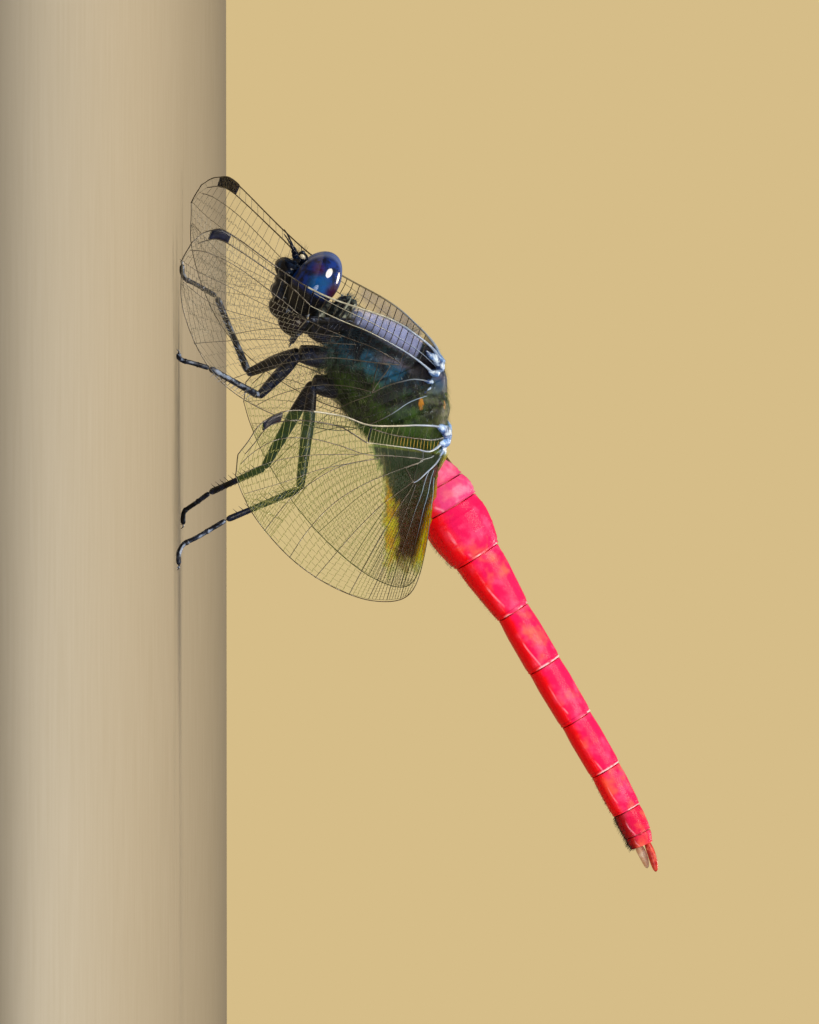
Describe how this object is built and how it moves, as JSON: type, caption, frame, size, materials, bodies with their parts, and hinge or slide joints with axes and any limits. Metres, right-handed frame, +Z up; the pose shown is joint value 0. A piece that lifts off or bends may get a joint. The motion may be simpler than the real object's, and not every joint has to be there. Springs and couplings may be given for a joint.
{
  "type": "dragonfly",
  "caption": "Life-size still model of a crimson-tailed skimmer dragonfly standing on its legs, wings drooped forward and abdomen raised.",
  "frame": {"origin": "on the ground under the middle of the overall box", "axes": "+Z up; the head points to -Y and the tail to +Y; the animal's left side is +X"},
  "size_m": [0.0646, 0.0448, 0.032],
  "materials": {
    "eye": "glossy indigo-blue compound eye with violet and brown patches",
    "face": "satin blue-black shell",
    "thorax": "dark olive and blue-black shell with fine pale hair",
    "abdomen": "crimson shell with a pink bloom on the back",
    "tail": "dark crimson appendages",
    "wing": "clear glossy membrane with dark veins and an amber and brown patch at the hindwing base",
    "leg": "satin black shell with a blue-white sheen"
  },
  "bodies": {
    "root": {"head": "face", "eye_left": "eye", "eye_right": "eye", "labrum": "face", "labium": "face", "antenna_left": "face", "antenna_right": "face", "prothorax": "thorax", "thorax": "thorax", "abdomen_1": "abdomen", "abdomen_2": "abdomen", "abdomen_3": "abdomen", "abdomen_4": "abdomen", "abdomen_5": "abdomen", "abdomen_6": "abdomen", "abdomen_7": "abdomen", "abdomen_8": "abdomen", "abdomen_9": "abdomen", "abdomen_10": "abdomen", "cercus_left": "tail", "cercus_right": "tail", "epiproct": "tail", "forewing_left": "wing", "forewing_right": "wing", "hindwing_left": "wing", "hindwing_right": "wing", "fore_left_coxa": "leg", "fore_left_femur": "leg", "fore_left_tibia": "leg", "fore_left_tarsus": "leg", "fore_right_coxa": "leg", "fore_right_femur": "leg", "fore_right_tibia": "leg", "fore_right_tarsus": "leg", "mid_left_coxa": "leg", "mid_left_femur": "leg", "mid_left_tibia": "leg", "mid_left_tarsus": "leg", "mid_right_coxa": "leg", "mid_right_femur": "leg", "mid_right_tibia": "leg", "mid_right_tarsus": "leg", "hind_left_coxa": "leg", "hind_left_femur": "leg", "hind_left_tibia": "leg", "hind_left_tarsus": "leg", "hind_right_coxa": "leg", "hind_right_femur": "leg", "hind_right_tibia": "leg", "hind_right_tarsus": "leg"}
  },
  "joints": []
}
